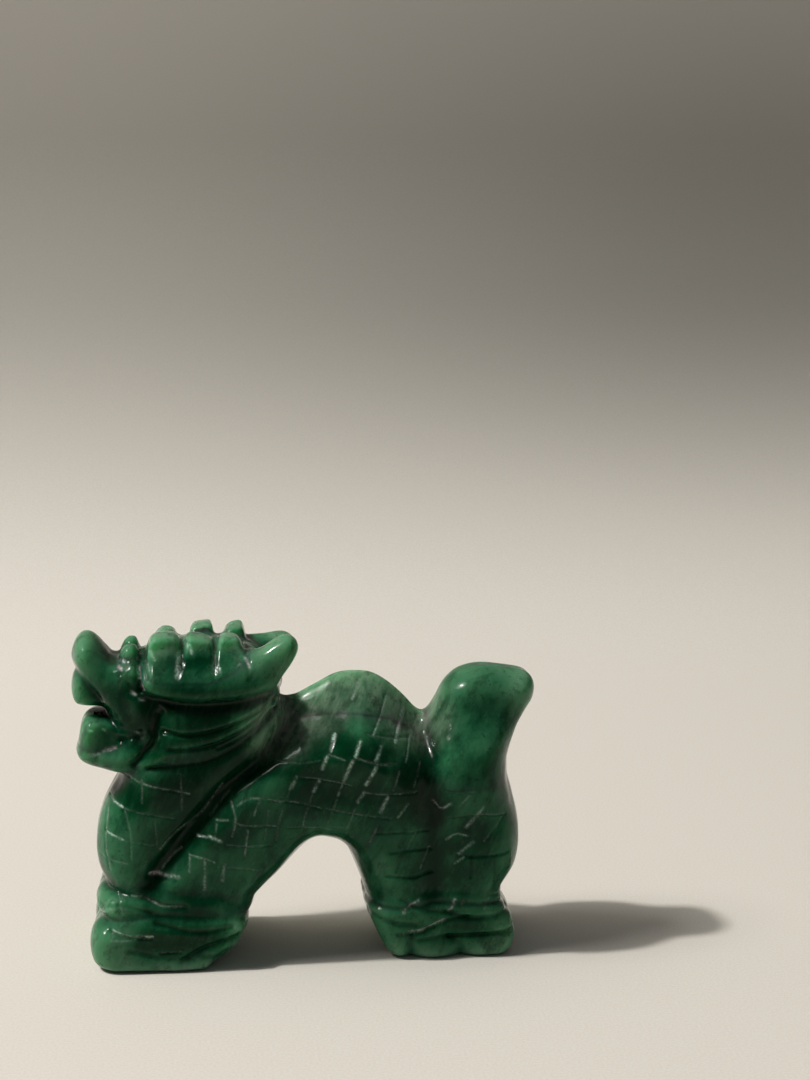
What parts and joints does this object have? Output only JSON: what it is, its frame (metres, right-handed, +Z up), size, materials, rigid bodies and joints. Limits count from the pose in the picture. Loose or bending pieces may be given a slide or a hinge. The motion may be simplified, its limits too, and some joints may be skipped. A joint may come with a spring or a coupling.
{
  "type": "carved dragon figurine",
  "caption": "Carved green stone dragon standing on flat feet, with open mouth, knobbed crest, swept horns, scale-cut arched body and raised tail.",
  "frame": {"origin": "middle of the figure's length and thickness, on the plane it stands on", "axes": "+X along the body towards the tail, +Y towards the dragon's own right side, +Z up"},
  "size_m": [0.0499, 0.016, 0.0361],
  "materials": {
    "jade": "tumbled polish, translucent, with frosted cut lines"
  },
  "bodies": {
    "root": {"skull": "jade", "snout": "jade", "upper_teeth": "jade", "tongue": "jade", "lower_jaw": "jade", "brow_knobs": "jade", "left_crest": "jade", "right_crest": "jade", "left_horn": "jade", "right_horn": "jade", "left_mane": "jade", "right_mane": "jade", "neck": "jade", "front_body": "jade", "hump": "jade", "dorsal_ridge": "jade", "rear_body": "jade", "haunch": "jade", "tail": "jade", "left_foreleg": "jade", "right_foreleg": "jade", "left_forefoot": "jade", "right_forefoot": "jade", "left_hind_foot": "jade", "right_hind_foot": "jade"}
  },
  "joints": []
}
